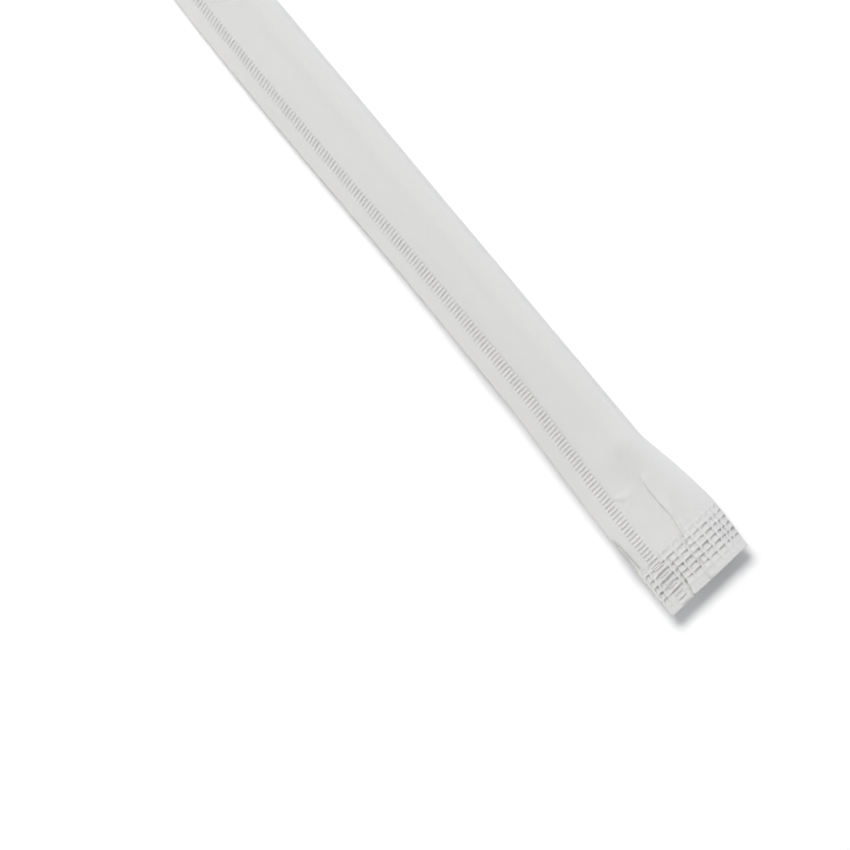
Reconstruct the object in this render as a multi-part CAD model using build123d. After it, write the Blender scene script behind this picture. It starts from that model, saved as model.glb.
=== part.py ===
from build123d import *

import os
from math import acos, asin, cos, pi, radians, sin, sqrt

# Paper-wrapped drinking straw: a straw sealed in a folded and crimped paper sleeve, as one solid.
#
# Row frame, in millimetres: +X along the straw towards its front end, +Z up, with the origin under
# the middle of the pack. The pack lies on the straw and, along its back half, on the cut edge of
# its seam. From there the sleeve twists, which lifts the seam level with the straw's axis in front.

# The straw inside.
STRAW_LENGTH = 197.0  # a 7 3/4 inch straw
STRAW_DIAMETER = 5.8

# The sleeve: one sheet folded over the straw, crimped along its open side and at both ends.
PAPER = 0.05  # one thickness of the sheet
SLACK = 1.15  # how much wider each web is than half the way round the straw
SEAM_WIDTH = 1.5  # the crimped band along the open side
SEAM_MARGIN = 1.7  # the plain margin outside that band
SEAL_LENGTH = 8.2  # each flat crimped end, measured to its cut edge
FRONT_FLARE = 12.4  # from the straw's front end to the front seal
BACK_FLARE = 9.2  # from the straw's back end to the back seal
STRAW_OFFSET = 2.1  # the straw's axis lies this far from the seals' middle, towards the fold

# How the pack lies. Angles are in degrees below level, going out from the straw.
LEVEL_LENGTH = 20.0  # the seam is level for this far behind the straw's front end
CURL_LENGTH = 50.0  # behind that it curls down over this length
SETTLE_LENGTH = 40.0  # and behind that it sinks to the table over this length
TWIST_STEPS = 4  # sections along each of those two lengths
BAND_CURL = 28.0  # the crimped band's slope once it has curled down
MARGIN_CURL = 9.0  # the plain margin's slope there
WEB_CURL = 4.0  # the slope there of the line from the straw's axis to the seam
PRESSED = 0.03  # how far the round underside is pressed flat by the pack's own weight

RADIUS = STRAW_DIAMETER / 2 + PAPER
WEB_WIDTH = pi * RADIUS + SLACK
FLAT_WIDTH = SEAM_MARGIN + SEAM_WIDTH + WEB_WIDTH
LENGTH = SEAL_LENGTH + BACK_FLARE + STRAW_LENGTH + FRONT_FLARE + SEAL_LENGTH
AXIS_Z = RADIUS - PRESSED


def find_apex_distance():
    """How far from the straw's axis the two webs meet, with the sheet drawn snugly round it."""
    near, far = RADIUS, RADIUS + WEB_WIDTH
    for _ in range(50):
        middle = (near + far) / 2
        straight = sqrt(middle**2 - RADIUS**2)
        if straight + RADIUS * (pi - acos(RADIUS / middle)) < WEB_WIDTH:
            near = middle
        else:
            far = middle
    return near


APEX_DISTANCE = find_apex_distance()
HALF_WRAP = pi - acos(RADIUS / APEX_DISTANCE)  # from the fold to where a web leaves the straw
WEB_STRAIGHT = WEB_WIDTH - RADIUS * HALF_WRAP
SEAM_FALL = SEAM_WIDTH * sin(radians(BAND_CURL)) + SEAM_MARGIN * sin(radians(MARGIN_CURL))
RESTING_WEB = asin((AXIS_Z - PAPER - SEAM_FALL) / APEX_DISTANCE)  # puts the cut edge on the table
RESTING_SEAL = asin((AXIS_Z - PAPER) / (FLAT_WIDTH / 2))


def step(length, angle):
    """A step of this length across the pack, at an angle above +Y in radians."""
    return Vector(0, length * cos(angle), length * sin(angle))


def tube_section(x, curl, web):
    """The sheet round the straw. Curl runs from 0, a level seam, to 1, and web is its slope."""
    band = curl * radians(BAND_CURL)
    margin = curl * radians(MARGIN_CURL)
    axis = Vector(x, STRAW_OFFSET, AXIS_Z)

    apex = axis - step(APEX_DISTANCE, web)
    band_edge = apex - step(SEAM_WIDTH, band)
    cut_edge = band_edge - step(SEAM_MARGIN, margin)
    plies = [step(PAPER, slope + pi / 2) for slope in (margin, (margin + band) / 2, band)]
    seam = [cut_edge, band_edge, apex]
    top = [point + ply for point, ply in zip(seam, plies)]
    under = [point - ply for point, ply in zip(seam, plies)]

    half_fold = PAPER / RADIUS
    half_arc = (HALF_WRAP + half_fold) / 2
    top_arc = [axis + step(RADIUS, web + turn) for turn in (HALF_WRAP, half_arc, half_fold)]
    under_arc = [axis + step(RADIUS, web - turn) for turn in (half_fold, half_arc, HALF_WRAP)]

    top_run = [*top, top_arc[0]]
    under_run = [under_arc[-1], *reversed(under), top[0]]
    return Wire(
        [
            *[Edge.make_line(a, b) for a, b in zip(top_run, top_run[1:])],
            Edge.make_three_point_arc(*top_arc),
            Edge.make_line(top_arc[-1], under_arc[0]),
            Edge.make_three_point_arc(*under_arc),
            *[Edge.make_line(a, b) for a, b in zip(under_run, under_run[1:])],
        ]
    )


def flat_section(x, tilt):
    """The sheet pressed flat, as at a seal, with its corners where a tube section has them."""
    middle = Vector(x, 0, AXIS_Z)
    seam_inside = SEAM_MARGIN + SEAM_WIDTH
    widths = [0, SEAM_MARGIN, seam_inside, seam_inside + WEB_STRAIGHT, FLAT_WIDTH]
    across = [middle + step(width - FLAT_WIDTH / 2, tilt) for width in widths]
    ply = step(PAPER, tilt + pi / 2)
    top = [point + ply for point in across]
    under = [point - ply for point in reversed(across)]
    return Wire.make_polygon([*top, *under], close=True)


def make_wrapped_straw():
    """Two flat seals, each flaring to the sleeve, whose seam twists and curls along the straw."""
    back_cut = -LENGTH / 2
    back_seal = back_cut + SEAL_LENGTH
    back_end = back_seal + BACK_FLARE
    front_end = back_end + STRAW_LENGTH
    front_seal = front_end + FRONT_FLARE
    front_cut = front_seal + SEAL_LENGTH

    curled = front_end - LEVEL_LENGTH - CURL_LENGTH
    web_curl = radians(WEB_CURL)
    settling = []
    curling = []
    for index in range(TWIST_STEPS):
        before = index / TWIST_STEPS
        after = before + 1 / TWIST_STEPS
        web = RESTING_WEB + before * (web_curl - RESTING_WEB)
        curl = cos(after * pi / 2)
        settling.append(tube_section(curled - (1 - before) * SETTLE_LENGTH, 1, web))
        curling.append(tube_section(curled + after * CURL_LENGTH, curl, curl * web_curl))
    sections = [
        flat_section(back_cut, RESTING_SEAL),
        flat_section(back_seal, RESTING_SEAL),
        tube_section(back_end, 1, RESTING_WEB),
        *settling,
        tube_section(curled, 1, web_curl),
        *curling,
        tube_section(front_end, 0, 0),
        flat_section(front_seal, 0),
        flat_section(front_cut, 0),
    ]
    pack = Solid.make_loft(sections, ruled=True)

    under_table = Box(LENGTH, RADIUS, RADIUS, align=(Align.CENTER, Align.CENTER, Align.MAX))
    return pack - Pos(0, STRAW_OFFSET, 0) * under_table


os.makedirs("parts", exist_ok=True)
export_step(make_wrapped_straw(), "parts/wrapped_straw.step")
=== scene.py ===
from math import acos, asin, cos, exp, pi, radians, sin, sqrt

import bmesh
import bpy
from mathutils import Matrix, Vector, noise


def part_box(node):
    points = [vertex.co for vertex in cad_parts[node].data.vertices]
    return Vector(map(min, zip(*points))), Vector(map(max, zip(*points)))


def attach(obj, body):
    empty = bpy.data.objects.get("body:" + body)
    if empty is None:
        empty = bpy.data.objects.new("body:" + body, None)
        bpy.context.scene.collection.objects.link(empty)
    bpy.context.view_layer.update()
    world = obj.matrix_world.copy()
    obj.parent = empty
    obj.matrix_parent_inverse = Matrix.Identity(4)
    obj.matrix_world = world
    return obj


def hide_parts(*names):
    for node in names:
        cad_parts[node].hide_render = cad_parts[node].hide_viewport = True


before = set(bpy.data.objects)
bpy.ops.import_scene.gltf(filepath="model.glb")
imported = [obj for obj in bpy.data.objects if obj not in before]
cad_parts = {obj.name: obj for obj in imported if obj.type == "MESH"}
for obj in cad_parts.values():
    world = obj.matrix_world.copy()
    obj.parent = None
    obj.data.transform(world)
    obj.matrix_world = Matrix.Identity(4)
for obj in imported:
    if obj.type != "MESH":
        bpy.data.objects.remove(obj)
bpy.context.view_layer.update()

# ---------------------------------------------------------------------------------------------
# The paper sleeve, which hides the straw on every side: one strip of thin white paper, folded round
# the straw and crimped to itself along its open side and at both ends. It is made here as the real
# one is, from a flat blank that is folded, crimped and creased.

# The blank. Its top and under halves each have a plain margin at the cut edge, the seam's band, and
# the web that goes round the straw to the fold. Both are laid out flat, finer where wheels and jaws
# will press them, and joined along every edge.
MM = 0.001
PAPER = 0.05 * MM
MARGIN = 1.82 * MM
BAND = 1.46 * MM
STRAW_RADIUS = 2.95 * MM  # with the paper round it
WEB_SLACK = 1.15 * MM
WEB = pi * STRAW_RADIUS + WEB_SLACK
WIDTH = MARGIN + BAND + WEB
SEAL = 8.2 * MM
FRONT_FLARE = 12.4 * MM
BACK_FLARE = 9.2 * MM

low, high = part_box("wrapped_straw")
BACK_CUT, FRONT_CUT = low[0], high[0]
BACK_SEAL = BACK_CUT + SEAL
FRONT_SEAL = FRONT_CUT - SEAL
BACK_END = BACK_SEAL + BACK_FLARE
FRONT_END = FRONT_SEAL - FRONT_FLARE

BARS = 392  # along the whole seam
BAR_PITCH = (FRONT_CUT - BACK_CUT) / BARS
BAND_LIP = 0.12 * MM  # the slope at each end of a bar
MARGIN_PARTS = (0.0, 0.09, 0.2, 0.36, 0.67)  # close together at the cut edge, which turns up
WEB_ROWS = 18
BENT_LENGTH = 2 * MM  # the blank is finer from this far behind the straw's front end
PRESSED_LENGTH = 1 * MM  # and finer still from this far behind the front seal
CREASED_LENGTH = 9 * MM  # the long crease's strip is finer too, from this far behind that seal
CREASED_INNER = 7.4 * MM  # and between these two distances from the cut edge
CREASED_OUTER = 10.6 * MM
UNDER = -1.0  # marks the under half until the blank is folded


def row_edges():
    """The distances from the cut edge at which the blank's rows of faces meet."""
    margin = [MARGIN * part for part in MARGIN_PARTS]
    band = [MARGIN, MARGIN + BAND_LIP, MARGIN + BAND / 2, MARGIN + BAND - BAND_LIP]
    web = [MARGIN + BAND + WEB * row / WEB_ROWS for row in range(WEB_ROWS + 1)]
    return margin + band + web


def edges_of(faces):
    return list({edge for face in faces for edge in face.edges})


def refine(blank, start, end, cuts, inner=0.0, outer=WIDTH):
    """Cuts up the top sheet's faces that lie between two places along it and two across it."""
    inside = []
    for face in blank.faces:
        middle = face.calc_center_median()
        if start < middle.x < end and inner < middle.y < outer and middle.z > UNDER / 2:
            inside.append(face)
    bmesh.ops.subdivide_edges(blank, edges=edges_of(inside), cuts=cuts, use_grid_fill=True)


def refine_band(blank, length, cuts):
    """Cuts across the seam's band wherever its edges still have this length along the blank."""
    band = [face for face in blank.faces if MARGIN < face.calc_center_median().y < MARGIN + BAND]
    along = [edge for edge in edges_of(band) if abs(edge.verts[0].co.y - edge.verts[1].co.y) < PAPER]
    runs = [edge for edge in along if abs(edge.calc_length() - length) < PAPER]
    bmesh.ops.subdivide_edges(blank, edges=runs, cuts=cuts)


def cut_blank():
    """The top half at height 0 and the under half at UNDER, joined by walls with a middle row."""
    rows = row_edges()
    blank = bmesh.new()
    bmesh.ops.create_grid(blank, x_segments=BARS, y_segments=len(rows) - 1, size=1.0)
    for vert in blank.verts:
        vert.co.x = BACK_CUT + (vert.co.x + 1) / 2 * (FRONT_CUT - BACK_CUT)
        vert.co.y = rows[round((vert.co.y + 1) / 2 * (len(rows) - 1))]
    refine(blank, FRONT_END - BENT_LENGTH, FRONT_CUT, cuts=1)
    refine(blank, BACK_SEAL, BACK_END, cuts=1)
    refine(blank, FRONT_SEAL - PRESSED_LENGTH, FRONT_CUT, cuts=2)
    refine(blank, BACK_CUT, BACK_SEAL, cuts=3)
    refine_band(blank, BAR_PITCH, cuts=4)
    refine_band(blank, BAR_PITCH / 2, cuts=2)

    both = blank.verts[:] + blank.edges[:] + blank.faces[:]
    under = bmesh.ops.duplicate(blank, geom=both)["geom"]
    under_faces = [item for item in under if isinstance(item, bmesh.types.BMFace)]
    bmesh.ops.reverse_faces(blank, faces=under_faces)
    for item in under:
        if isinstance(item, bmesh.types.BMVert):
            item.co.z = UNDER
    creased_start = FRONT_SEAL - CREASED_LENGTH
    creased_end = FRONT_SEAL - PRESSED_LENGTH
    refine(blank, creased_start, creased_end, cuts=1, inner=CREASED_INNER, outer=CREASED_OUTER)
    rims = [edge for edge in blank.edges if edge.is_boundary]
    bmesh.ops.bridge_loops(blank, edges=rims)
    walls = [edge for edge in blank.edges if edge.verts[0].co.z != edge.verts[1].co.z]
    bmesh.ops.subdivide_edges(blank, edges=walls, cuts=1, use_grid_fill=True)
    return blank


# The fold. The sheet is drawn round the straw, so that its webs leave the straw on straight lines
# and meet at the seam, and it is pressed flat at both ends. The seam is level at the front. Behind
# that it curls down, and it lies on its cut edge along the back half.
AXIS_Y = 2.1 * MM
AXIS_Z = 2.92 * MM
LEVEL_LENGTH = 20.0 * MM  # the seam is level for this far behind the straw's front end
CURL_LENGTH = 50.0 * MM  # behind that it curls down over this length
SETTLE_LENGTH = 40.0 * MM  # and behind that it sinks to the table over this length
BAND_CURL = radians(28)
MARGIN_CURL = radians(9)
WEB_CURL = radians(4)
BACK_SLACK = 0.2 * MM
MIDDLE_SLACK = -0.32 * MM
FRONT_SLACK = 0.34 * MM
DRAWN_IN_START = 70.0 * MM  # the seam is drawn in between these two distances behind the straw's end
DRAWN_IN_END = 30.0 * MM
LET_OUT_LENGTH = 15.0 * MM  # and let out again over this length, up to the straw's end
BEND = 0.1  # half the share of a flare's length that each of its bends takes
BULGE = 0.09  # how far the spare paper holds a flare open
GATHER = 0.08 * MM  # how far the pleats draw in the seam's side of a seal
GATHERED_WIDTH = 5 * MM
HALVINGS = 50


def find_apex_distance():
    """How far from the straw's axis the two webs meet, with the sheet drawn snugly round it."""
    near, far = STRAW_RADIUS, STRAW_RADIUS + WEB
    for _ in range(HALVINGS):
        middle = (near + far) / 2
        straight = sqrt(middle**2 - STRAW_RADIUS**2)
        if straight + STRAW_RADIUS * (pi - acos(STRAW_RADIUS / middle)) < WEB:
            near = middle
        else:
            far = middle
    return near


APEX_DISTANCE = find_apex_distance()
SEAM_FALL = BAND * sin(BAND_CURL) + MARGIN * sin(MARGIN_CURL)
RESTING_WEB = asin((AXIS_Z - PAPER - SEAM_FALL) / (APEX_DISTANCE + BACK_SLACK))
RESTING_SEAL = asin((AXIS_Z - PAPER) / (WIDTH / 2))


def step(length, angle):
    """A step of this length across the pack, at an angle above level."""
    return Vector((0, length * cos(angle), length * sin(angle)))


def clamp(value):
    return min(max(value, 0.0), 1.0)


def ramp(value, start, end):
    """How far value has gone from start to end, from 0 to 1, eased at both."""
    part = clamp((value - start) / (end - start))
    return part * part * (3 - 2 * part)


def spread(part):
    """How flat a flare is at a part of its length, with a short bend where it starts and ends."""
    bulge = BULGE * sin(pi * clamp(part))
    if part < BEND:
        return max(part + BEND, 0.0) ** 2 / (4 * BEND) + bulge
    if part > 1 - BEND:
        return 1 - max(1 + BEND - part, 0.0) ** 2 / (4 * BEND) + bulge
    return part + bulge


def lean(x):
    """How far the seam has curled down at x, and the web's slope there."""
    curled = FRONT_END - LEVEL_LENGTH - CURL_LENGTH
    curl = sin(clamp((curled + CURL_LENGTH - x) / CURL_LENGTH) * pi / 2)
    settled = ramp(curled - x, 0.0, SETTLE_LENGTH)
    return curl, curl * WEB_CURL + settled * (RESTING_WEB - WEB_CURL)


def slack(x):
    """How much further from the straw the seam stands at x than in a taut sheet."""
    drawn_in = ramp(x, FRONT_END - DRAWN_IN_START, FRONT_END - DRAWN_IN_END)
    let_out = clamp((x - FRONT_END + LET_OUT_LENGTH) / LET_OUT_LENGTH)
    return BACK_SLACK + drawn_in * (MIDDLE_SLACK - BACK_SLACK) + let_out * (FRONT_SLACK - MIDDLE_SLACK)


def tube_point(x, across, side):
    """Where the sheet lies round the straw, from 1 on its top half to -1 on its under half."""
    curl, web = lean(x)
    axis = Vector((x, AXIS_Y, AXIS_Z))
    distance = APEX_DISTANCE + slack(x)
    half_wrap = pi - acos(STRAW_RADIUS / distance)
    straight = sqrt(distance**2 - STRAW_RADIUS**2)
    apex = axis - step(distance, web)
    band, margin = curl * BAND_CURL, curl * MARGIN_CURL
    if across <= MARGIN:
        edge = apex - step(BAND, band) - step(MARGIN - across, margin)
        return edge + step(side * PAPER, margin + pi / 2)
    if across <= MARGIN + BAND:
        return apex + step(across - MARGIN - BAND, band) + step(side * PAPER, band + pi / 2)
    inside = (across - MARGIN - BAND) * (straight + STRAW_RADIUS * half_wrap) / WEB
    if inside <= straight:
        part = inside / straight
        touch = axis + step(STRAW_RADIUS, web + side * half_wrap)
        return apex.lerp(touch, part) + step(side * PAPER * (1 - part), band + pi / 2)
    turn = half_wrap - (inside - straight) / STRAW_RADIUS
    return axis + step(STRAW_RADIUS, web + side * max(turn, PAPER / STRAW_RADIUS))


def flat_point(x, across, side, tilt):
    """Where the sheet lies once pressed flat, drawn in a little on the seam's side by its pleats."""
    drawn = GATHER * ramp(-across, -MARGIN - BAND - GATHERED_WIDTH, -MARGIN - BAND)
    middle = Vector((x, 0, AXIS_Z))
    return middle + step(across + drawn - WIDTH / 2, tilt) + step(side * PAPER, tilt + pi / 2)


def folded(x, across, side):
    """Where a point of the blank lies once the sheet is folded and sealed."""
    tube = tube_point(x, across, side)
    front = spread((x - FRONT_END) / FRONT_FLARE)
    if front > 0:
        return tube.lerp(flat_point(x, across, side, 0.0), front)
    back = spread((BACK_END - x) / BACK_FLARE)
    return tube.lerp(flat_point(x, across, side, RESTING_SEAL), back)


# The crimps. Toothed wheels press the seam's two plies together into short slanting bars. Knurled
# jaws press the ends into a grid of ridges round small pockets, and a knife cuts them off. The jaws
# and the knife are both a little off square.
BAR_HEIGHT = 0.25 * MM
BAR_START = 0.3  # where a bar starts, is highest and stops, as shares of the pitch
BAR_TOP = 0.62
BAR_STOP = 0.87
BAR_SLANT = 0.05  # how far a bar leans along the seam for each unit across it
BAR_UNEVEN = 0.3
BAR_SEED = 3
WITHIN_BAR = 0.001  # keeps a point on the line between two bars in the front one
ROW_PITCH = 0.965 * MM
FIRST_ROW = 0.87 * MM
ROW_STRENGTHS = (0.1, 0.7, 0.85, 1.0, 1.0, 1.0, 0.2)  # from the seal's start to the cut edge
# The necks between a row's pockets, at these distances in millimetres from the seam's cut edge.
NECKS = (0.11, 1.11, 3.79, 5.57, 7.1, 8.47, 9.86, 11.31, 12.16, 12.8, 13.68)
CREST_PLACE = 0.1  # how far a row's ridge lies from its place, as a share of the pitch
POCKET_DEPTH = 0.31 * MM
POCKET_UNEVEN = 0.6
POCKET_WALL = 0.2 * MM
POCKET_CORNER = 0.38 * MM  # the rounding of a pocket's corners
POCKET_RISE = 0.48  # a pocket's floor starts to rise at this share of the pitch
HALF_NECK = 0.12 * MM
# Each pocket has a deeper pit in one corner, beside its ridge and its neck on the fold's side.
PIT_PLACE = 0.17 * MM
PIT_WIDTH = 0.13 * MM
PIT_LENGTH = 0.42 * MM
PIT_DEPTH = 0.44 * MM
JAW_SKEW = 0.03
FRONT_JAW, BACK_JAW = 1, 2
SEALED_LENGTH = 1 * MM  # over which the jaws' pressure comes on
CRUSHED_LENGTH = 0.45 * MM
CRUSHED_HEIGHT = 0.04 * MM
KNIFE_SKEW = 0.045
KNIFE_SQUARE = 9.8 * MM  # the front cut lies at its nominal place this far from the seam's cut edge
BACK_KNIFE = 0.4  # how skewed the back cut is, as a share of the front one
END_LENGTH = 1.5 * MM  # the plain end that a skewed cut lengthens or shortens
CORNER = 0.4 * MM
FOLD_DRAWN = 0.3 * MM  # how far the fold is drawn in at the front cut
FOLD_DRAWN_WIDTH = WIDTH / 4
CHANCE_STARTS = (0.37, 0.61, 0.0)
CHANCE_STRIDES = (3.71, 5.13, 1.7)


def chance(*seeds):
    """A number from about -1 to 1 that is always the same for the same three seeds."""
    strides = zip(CHANCE_STARTS, CHANCE_STRIDES, seeds)
    return noise.noise([start + stride * seed for start, stride, seed in strides])


def bars(x, across):
    """How high the seam's bars stand."""
    bar, part = divmod((x - BACK_CUT) / BAR_PITCH + WITHIN_BAR, 1.0)
    rise = clamp((part - BAR_START) / (BAR_TOP - BAR_START))
    crest = min(rise, clamp((BAR_STOP - part) / (BAR_STOP - BAR_TOP)))
    ends = min(across - MARGIN, MARGIN + BAND - across) / BAND_LIP
    return BAR_HEIGHT * crest * clamp(ends) * (1 + BAR_UNEVEN * chance(bar, across / BAND, BAR_SEED))


def row_strength(row):
    return ROW_STRENGTHS[row] if 0 <= row < len(ROW_STRENGTHS) else 0.0


def pockets(inward, across, jaw):
    """The jaws' grid of ridges round small pockets, at a distance inward from the seal's start."""
    place = (inward - FIRST_ROW + JAW_SKEW * (across - WIDTH)) / ROW_PITCH - CREST_PLACE
    if not -1 < place < len(ROW_STRENGTHS):
        return 0.0
    row = int(place // 1)
    part = place - row
    strength = row_strength(row) * (1 - part) + row_strength(row + 1) * part
    pocket = sum(neck * MM < across for neck in NECKS)
    past_neck = min((across - neck * MM for neck in NECKS), key=abs)
    from_ridge = max(POCKET_CORNER - part * ROW_PITCH, 0.0)
    from_neck = max(POCKET_CORNER + HALF_NECK - abs(past_neck), 0.0)
    wall = 1 - ramp(POCKET_CORNER - sqrt(from_ridge**2 + from_neck**2), 0.0, POCKET_WALL)
    rise = clamp((part - POCKET_RISE) / (1 - POCKET_RISE))
    depth = POCKET_DEPTH * (1 + POCKET_UNEVEN * chance(row, pocket, jaw))
    below = -past_neck - HALF_NECK
    taper = ramp(below, -HALF_NECK, HALF_NECK / 2) * ramp(-below, -PIT_LENGTH, -HALF_NECK / 2)
    pit = PIT_DEPTH * taper * exp(-(((part * ROW_PITCH - PIT_PLACE) / PIT_WIDTH) ** 2))
    return strength * (depth * (max(wall, rise) - 1) - pit)


def crimp(x, across):
    """How far the crimps lift both plies."""
    into_front, into_back = x - FRONT_SEAL, BACK_SEAL - x
    sealed = max(ramp(into_front, 0.0, SEALED_LENGTH), ramp(into_back, 0.0, SEALED_LENGTH))
    crushed = CRUSHED_HEIGHT * noise.noise(Vector((x, across, 0)) / CRUSHED_LENGTH)
    pressed = pockets(into_front, across, FRONT_JAW) + pockets(into_back, across, BACK_JAW)
    return bars(x, across) + pressed + sealed * crushed


def cut_off_square(x, across):
    """How far the ends' edges are shifted, along the pack and across it."""
    in_front = clamp((x - FRONT_CUT + END_LENGTH) / END_LENGTH)
    at_back = clamp((BACK_CUT + END_LENGTH - x) / END_LENGTH)
    front_shift = (KNIFE_SQUARE - across) * in_front
    back_shift = BACK_KNIFE * (WIDTH / 2 - across) * at_back
    shift = KNIFE_SKEW * (front_shift - back_shift)
    along = clamp((CORNER - (FRONT_CUT - x)) / CORNER)
    beside = clamp((CORNER - across) / CORNER)
    shift -= CORNER * along * (1 - sqrt(1 - beside**2 / 2))
    drawn = FOLD_DRAWN * ramp(x, FRONT_SEAL, FRONT_CUT) * clamp(1 - (WIDTH - across) / FOLD_DRAWN_WIDTH)
    return shift, CORNER * beside * (1 - sqrt(1 - along**2 / 2)) - drawn


# The creases. Where the sleeve is pressed from round to flat, the jaws catch its spare paper: a long
# crease runs in from the flare, short ones lie in the seal, and the cut edge turns up. Elsewhere the
# web cockles slightly.
#
# Each crease has a path, of distances in millimetres from the front seal and from the cut edge. Then
# come its height, half the width of its step, how far it reaches towards the fold, and the lengths
# over which it comes in and goes out.
CREASES = (
    (
        ((-8.3, 9.1), (-7.4, 8.5), (-6.5, 8.28), (-3.8, 8.16), (-1.7, 8.28), (1.5, 7.76)),
        (0.5, 0.12, 0.7, 1.6, 3),
    ),
    (
        ((-4.6, 10.4), (-2.0, 9.1), (0.0, 8.5), (1.6, 8.1)),
        (-0.2, 0.4, 1.0, 2, 1),
    ),
    (
        ((-0.8, 8.1), (1.5, 7.76), (3.0, 7.44), (4.6, 7.21), (6.0, 6.95)),
        (0.44, 0.12, 0.45, 1, 1),
    ),
    (
        ((5.2, 7.7), (6.6, 7.32), (7.2, 7.0), (8.2, 6.8)),
        (0.42, 0.12, 0.35, 0.5, 0.3),
    ),
    (
        ((2.3, 4.3), (3.8, 4.5), (4.8, 4.35), (6.2, 4.38), (7.0, 4.22)),
        (0.45, 0.09, 0.25, 0.5, 0.8),
    ),
    (
        ((5.6, 4.35), (6.2, 4.38), (7.0, 4.22), (8.4, 3.8)),
        (0.8, 0.1, 0.45, 1, 0.1),
    ),
    (
        ((-8.3, 3.4), (-6.6, 5.2)),
        (0.28, 0.2, 0.7, 0.5, 0.8),
    ),
    (
        ((-7.8, 5.6), (-5.6, 3.7)),
        (0.2, 0.25, 0.9, 0.5, 0.8),
    ),
)
VALLEY = 0.35  # the groove beside a crease, as a share of its height
# The turned cut edge, in millimetres like the creases.
LIP_START, LIP_END = -5.0, 1.6
LIP_FADE_IN, LIP_FADE_OUT = 2.5, 1.0
LIP_WIDTH = 0.28
LIP_NARROW = 0.4  # its width where it starts, as a share of its full width
LIP_HEIGHT = 0.6
DENT_DEPTH = 0.6  # the dent beside it, as a share of its height
DENT_PLACE = 1.35  # and of its width
COCKLE = 0.012 * MM
COCKLE_WIDTH = 5.0 * MM
COCKLE_STRETCH = 2  # how many times longer than wide a cockle is
COCKLE_EDGE = 1 * MM


def across_at(path, x):
    """How far across a path lies at x, on straight lines between its points."""
    for (x0, across0), (x1, across1) in zip(path, path[1:]):
        if x <= x1:
            return across0 + (across1 - across0) * (x - x0) / (x1 - x0)
    return path[-1][1]


def creases(x, across):
    """How far the creases lift the top half, all in millimetres."""
    lift = 0.0
    for path, (height, edge, reach, fade_in, fade_out) in CREASES:
        start, end = path[0][0], path[-1][0]
        if start < x < end:
            gap = across - across_at(path, x)
            taper = ramp(x, start, start + fade_in) * ramp(-x, -end, fade_out - end)
            fold = ramp(gap, -edge, edge) * exp(-max(gap, 0.0) / reach)
            valley = VALLEY * exp(-(((gap + edge) / (2 * edge)) ** 2))
            lift += height * taper * (fold - valley)
    return lift


def turned_lip(x, across):
    """How far the top half's cut edge turns up where it runs into the front seal."""
    fade_in = ramp(x, LIP_START, LIP_START + LIP_FADE_IN)
    fade_out = ramp(-x, -LIP_END, LIP_FADE_OUT - LIP_END)
    width = LIP_WIDTH * (LIP_NARROW + (1 - LIP_NARROW) * ramp(x, LIP_START, LIP_END))
    part = clamp(across / width)
    dent = exp(-(((across - DENT_PLACE * width) / width) ** 2))
    return LIP_HEIGHT * fade_in * fade_out * (1 - part - DENT_DEPTH * dent)


def cockle(x, across):
    inner = ramp(across, MARGIN + BAND, MARGIN + BAND + COCKLE_EDGE)
    return COCKLE * inner * noise.noise(Vector((x / COCKLE_STRETCH, across, 0)) / COCKLE_WIDTH)


# The folded sleeve. Each point of the blank goes where the fold takes it, and the crimps and creases
# then lift it.
GROOVE = 0.1 * MM  # the cut edges' two plies have this groove between them
PLIES_MEET = 1.0  # over this many millimetres up to the seal, the under half takes up the creases
MERGED = 0.001 * MM
SHARP_ANGLE = radians(55)

sleeve_form = cut_blank()
for vert in sleeve_form.verts:
    x, across, half = vert.co
    side = 1 + 2 * half  # 1 on the top half, -1 on the under half and 0 between them
    if side == 0:
        x = min(max(x, BACK_CUT + GROOVE), FRONT_CUT - GROOVE)
        across = max(across, GROOVE)
    along_shift, across_shift = cut_off_square(x, across)
    slant = BAR_SLANT * (MARGIN + BAND / 2 - min(max(across, MARGIN), MARGIN + BAND))
    point = folded(x, across + across_shift, side)
    point.x += along_shift + slant
    point.z += crimp(x, across) + cockle(x, across)
    along = (x - FRONT_SEAL) / MM
    creased = creases(along, across / MM)
    turned = turned_lip(along, across / MM)
    if side == 1:
        point.z += (creased + turned) * MM
    else:
        point.z += (creased * ramp(along, -PLIES_MEET, 0.0) + min(turned, 0.0)) * MM
    point.z = max(point.z, 0.0)
    vert.co = point
bmesh.ops.dissolve_degenerate(sleeve_form, dist=MERGED, edges=sleeve_form.edges)
bmesh.ops.recalc_face_normals(sleeve_form, faces=sleeve_form.faces)

sleeve_mesh = bpy.data.meshes.new("paper_sleeve")
sleeve_form.to_mesh(sleeve_mesh)
sleeve_form.free()
sleeve_mesh.shade_smooth()
sleeve_mesh.set_sharp_from_angle(angle=SHARP_ANGLE)
sleeve = bpy.data.objects.new("paper_sleeve", sleeve_mesh)
bpy.context.scene.collection.objects.link(sleeve)

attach(sleeve, "root")
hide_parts("wrapped_straw")

# The paper is machine-made. Its short fibres lie in every direction and it is cloudy where the pulp is
# thicker. Its colour also holds a painted tint of light: warmer along the top, where the warm key
# falls, and cooler towards the fold, which faces the bluish tent.
paper = bpy.data.materials.new("white_paper")
paper.use_nodes = True
nodes, links = paper.node_tree.nodes, paper.node_tree.links
shader = nodes["Principled BSDF"]
place = nodes.new("ShaderNodeTexCoord").outputs["Object"]


def paper_noise(scale, detail, distortion):
    texture = nodes.new("ShaderNodeTexNoise")
    texture.inputs["Scale"].default_value = scale
    texture.inputs["Detail"].default_value = detail
    texture.inputs["Distortion"].default_value = distortion
    links.new(place, texture.inputs["Vector"])
    return texture.outputs["Fac"]


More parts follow.
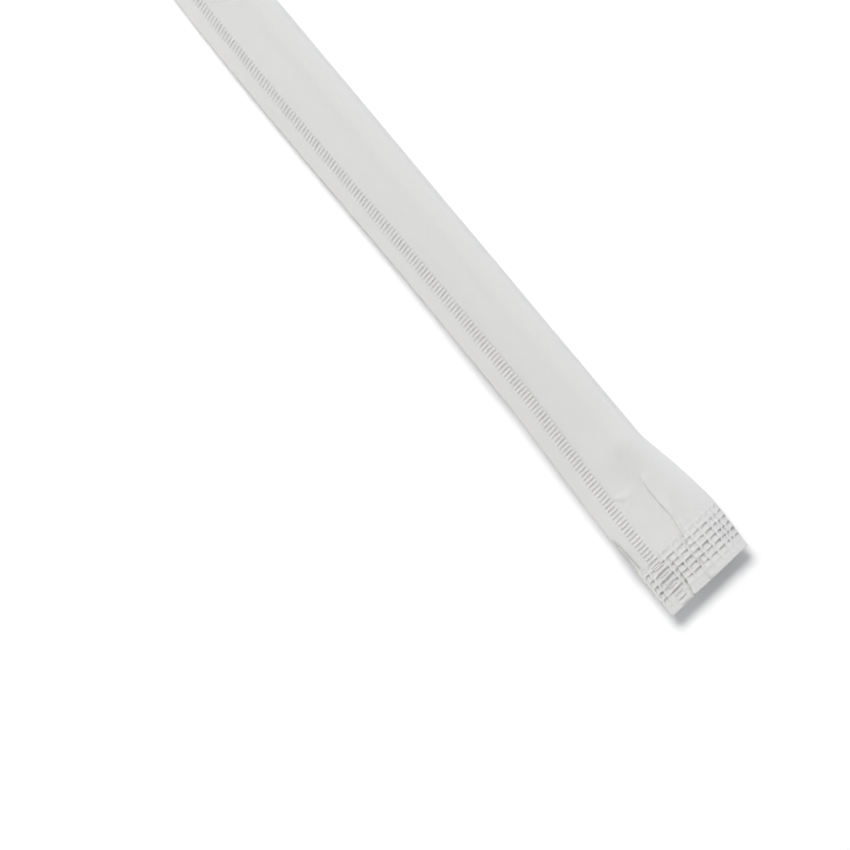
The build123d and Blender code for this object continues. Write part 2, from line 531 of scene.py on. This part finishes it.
def paper_range(value, lowest, highest, start, end):
    """A value from lowest to highest turned into one from start to end."""
    spread_out = nodes.new("ShaderNodeMapRange")
    spread_out.inputs["From Min"].default_value = lowest
    spread_out.inputs["From Max"].default_value = highest
    spread_out.inputs["To Min"].default_value = start
    spread_out.inputs["To Max"].default_value = end
    links.new(value, spread_out.inputs["Value"])
    return spread_out.outputs["Result"]


def paper_mix(amount, first, second):
    mix = nodes.new("ShaderNodeMix")
    mix.data_type = "RGBA"
    links.new(amount, mix.inputs["Factor"])
    for colour, socket in ((first, mix.inputs[6]), (second, mix.inputs[7])):
        if isinstance(colour, tuple):
            socket.default_value = (*colour, 1)
        else:
            links.new(colour, socket)
    return mix.outputs[2]


# The warm and cool whites paint a tint of light across the sheet: warm on top, under the key, and cool
# at the fold, under the bluish tent. The cool white also gives the sheet's random cool tone.
WARM_PAINTED_TOP_WHITE = (0.594, 0.59, 0.575)
COOL_TONE_AND_PAINTED_FOLD_WHITE = (0.582, 0.583, 0.592)
THICK_WHITE = (0.612, 0.61, 0.602)
PAINTED_TINT_SPAN = (2.6 * MM, 5.2 * MM)  # between these places across, towards the fold
PULP_RELIEF = 0.5  # the pulp's part in the relief, beside the fibres'

fibres = paper_noise(scale=2600.0, detail=4.0, distortion=1.2)
pulp = paper_noise(scale=420.0, detail=3.0, distortion=0.3)
sheet = paper_noise(scale=60.0, detail=2.0, distortion=0.0)
split = nodes.new("ShaderNodeSeparateXYZ")
links.new(place, split.inputs["Vector"])
# Painted tint of light: the base colour goes from the warm white on top to the cool white at the fold.
painted_tint_towards_fold = paper_range(split.outputs["Y"], *PAINTED_TINT_SPAN, start=0.0, end=1.0)
base_with_painted_tint = paper_mix(painted_tint_towards_fold, WARM_PAINTED_TOP_WHITE, COOL_TONE_AND_PAINTED_FOLD_WHITE)
thick = paper_range(pulp, lowest=0.35, highest=0.75, start=0.0, end=0.35)
clouded = paper_mix(thick, base_with_painted_tint, THICK_WHITE)
cool = paper_range(sheet, lowest=0.3, highest=0.7, start=0.0, end=0.25)
toned = paper_mix(cool, clouded, COOL_TONE_AND_PAINTED_FOLD_WHITE)
flecks = paper_range(fibres, lowest=0.4, highest=0.7, start=0.0, end=0.8)
flecked = paper_mix(flecks, toned, THICK_WHITE)
links.new(flecked, shader.inputs["Base Color"])
roughness = paper_range(fibres, lowest=0.3, highest=0.7, start=0.54, end=0.72)
links.new(roughness, shader.inputs["Roughness"])
relief = nodes.new("ShaderNodeMath")
relief.operation = "MULTIPLY_ADD"
relief.inputs[1].default_value = PULP_RELIEF
links.new(pulp, relief.inputs[0])
links.new(fibres, relief.inputs[2])
bump = nodes.new("ShaderNodeBump")
bump.inputs["Strength"].default_value = 0.8
bump.inputs["Distance"].default_value = 0.03 * MM
links.new(relief.outputs["Value"], bump.inputs["Height"])
links.new(bump.outputs["Normal"], shader.inputs["Normal"])
sleeve_mesh.materials.append(paper)

# ---------------------------------------------------------------------------------------------
# The table that the pack lies on, a plain pale board. Its smooth matt face is a single flat sheet,
# and its tone varies a little.
TABLE_REACH = 3.0
BOARD_GRAIN = 900.0
BOARD_DARK = (0.93, 0.93, 0.935)
BOARD_LIGHT = (0.97, 0.97, 0.97)
BOARD_ROUGHNESS = 0.9

floor_form = bmesh.new()
bmesh.ops.create_grid(floor_form, x_segments=1, y_segments=1, size=TABLE_REACH)
floor_mesh = bpy.data.meshes.new("table_top")
floor_form.to_mesh(floor_mesh)
floor_form.free()
floor = bpy.data.objects.new("table_top", floor_mesh)
bpy.context.scene.collection.objects.link(floor)
board = bpy.data.materials.new("white_board")
board.use_nodes = True
board_shader = board.node_tree.nodes["Principled BSDF"]
board_place = board.node_tree.nodes.new("ShaderNodeTexCoord")
board_grain = board.node_tree.nodes.new("ShaderNodeTexNoise")
board_grain.inputs["Scale"].default_value = BOARD_GRAIN
board_tones = board.node_tree.nodes.new("ShaderNodeValToRGB")
board_tones.color_ramp.elements[0].color = (*BOARD_DARK, 1)
board_tones.color_ramp.elements[1].color = (*BOARD_LIGHT, 1)
board.node_tree.links.new(board_place.outputs["Object"], board_grain.inputs["Vector"])
board.node_tree.links.new(board_grain.outputs["Fac"], board_tones.inputs["Fac"])
board.node_tree.links.new(board_tones.outputs["Color"], board_shader.inputs["Base Color"])
board_shader.inputs["Roughness"].default_value = BOARD_ROUGHNESS
floor_mesh.materials.append(board)

# ---------------------------------------------------------------------------------------------
# The light: a white tent that is brightest low down all round, one soft key from the back on the
# fold's side, a weak low fill from the back on the seam's side, and a small spot over the front flare.
TENT_TOP = 0.34
TENT_RIM = 3.5
TENT_FALL = 8.0  # how fast the tent darkens above its rim
TENT_COLOUR = (0.955, 0.975, 1.0)
LAMP_COLOUR = (1.0, 0.99, 0.975)
LAMP_AIM = Vector((0.08, 0, 0))
SPOT_POWER = 1.2
SPOT_CONE = radians(2.4)
SPOT_SIZE = 0.004
SPOT_HEIGHT = radians(75)
SPOT_DISTANCE = 0.6
SPOT_AIM = Vector((0.105, 0.003, 0.004))

world = bpy.data.worlds.new("light_tent")
world.use_nodes = True
tent_nodes, tent_links = world.node_tree.nodes, world.node_tree.links
direction = tent_nodes.new("ShaderNodeTexCoord")
height = tent_nodes.new("ShaderNodeSeparateXYZ")
tent_links.new(direction.outputs["Generated"], height.inputs["Vector"])


def tent_math(operation, first, second):
    node = tent_nodes.new("ShaderNodeMath")
    node.operation = operation
    for value, socket in ((first, node.inputs[0]), (second, node.inputs[1])):
        if isinstance(value, float):
            socket.default_value = value
        else:
            tent_links.new(value, socket)
    return node.outputs["Value"]


lowness = tent_math("SUBTRACT", 1.0, height.outputs["Z"])
rim = tent_math("POWER", lowness, TENT_FALL)
brightness = tent_math("ADD", tent_math("MULTIPLY", rim, TENT_RIM), TENT_TOP)
background = tent_nodes["Background"]
background.inputs["Color"].default_value = (*TENT_COLOUR, 1)
tent_links.new(brightness, background.inputs["Strength"])
bpy.context.scene.world = world
bpy.context.scene.view_settings.view_transform = "Standard"


def softbox(name, azimuth, elevation, distance, size, power):
    """A round soft light, seen from its aim at an azimuth from +X and an elevation above level."""
    light = bpy.data.lights.new(name, "AREA")
    light.shape = "DISK"
    light.size = size
    light.energy = power
    light.color = LAMP_COLOUR
    lamp = bpy.data.objects.new(name, light)
    bpy.context.scene.collection.objects.link(lamp)
    away = Vector((cos(elevation) * cos(azimuth), cos(elevation) * sin(azimuth), sin(elevation)))
    lamp.location = LAMP_AIM + distance * away
    lamp.rotation_euler = away.to_track_quat("Z", "Y").to_euler()


softbox("key", radians(151), radians(65), distance=2.0, size=1.1, power=31.2)
softbox("fill", radians(240), radians(20), distance=1.0, size=0.6, power=1.7)

spot = bpy.data.lights.new("flare_spot", "SPOT")
spot.energy = SPOT_POWER
spot.spot_size = SPOT_CONE
spot.spot_blend = 1.0
spot.shadow_soft_size = SPOT_SIZE
spot_lamp = bpy.data.objects.new("flare_spot", spot)
bpy.context.scene.collection.objects.link(spot_lamp)
spot_away = Vector((cos(SPOT_HEIGHT), 0, sin(SPOT_HEIGHT)))
spot_lamp.location = SPOT_AIM + SPOT_DISTANCE * spot_away
spot_lamp.rotation_euler = spot_away.to_track_quat("Z", "Y").to_euler()

# ---------------------------------------------------------------------------------------------
# The camera, which looks down on the front half from a little in front of it, with a long lens. It
# is turned so that the pack lies aslant, its front seal towards the lower right.
CAMERA_AIM = Vector((75.16, -16.27, 0.0)) * MM
CAMERA_TILT = radians(20.13)
CAMERA_TURN = radians(16.07)
CAMERA_UP = radians(141.53)
CAMERA_DISTANCE = 572.8 * MM
CAMERA_LENS = 183.05
CAMERA_SENSOR = 36.0
CAMERA_NEAR = 0.01

back = Vector(
    (sin(CAMERA_TILT) * cos(CAMERA_TURN), sin(CAMERA_TILT) * sin(CAMERA_TURN), cos(CAMERA_TILT))
)
right = Vector((cos(CAMERA_UP), sin(CAMERA_UP), 0.0)).cross(back).normalized()
up = back.cross(right)
camera = bpy.data.cameras.new("camera")
camera.lens = CAMERA_LENS
camera.sensor_width = CAMERA_SENSOR
camera.clip_start = CAMERA_NEAR
viewer = bpy.data.objects.new("camera", camera)
bpy.context.scene.collection.objects.link(viewer)
turn = Matrix((right, up, back)).transposed().to_4x4()
viewer.matrix_world = Matrix.Translation(CAMERA_AIM + CAMERA_DISTANCE * back) @ turn
bpy.context.scene.camera = viewer
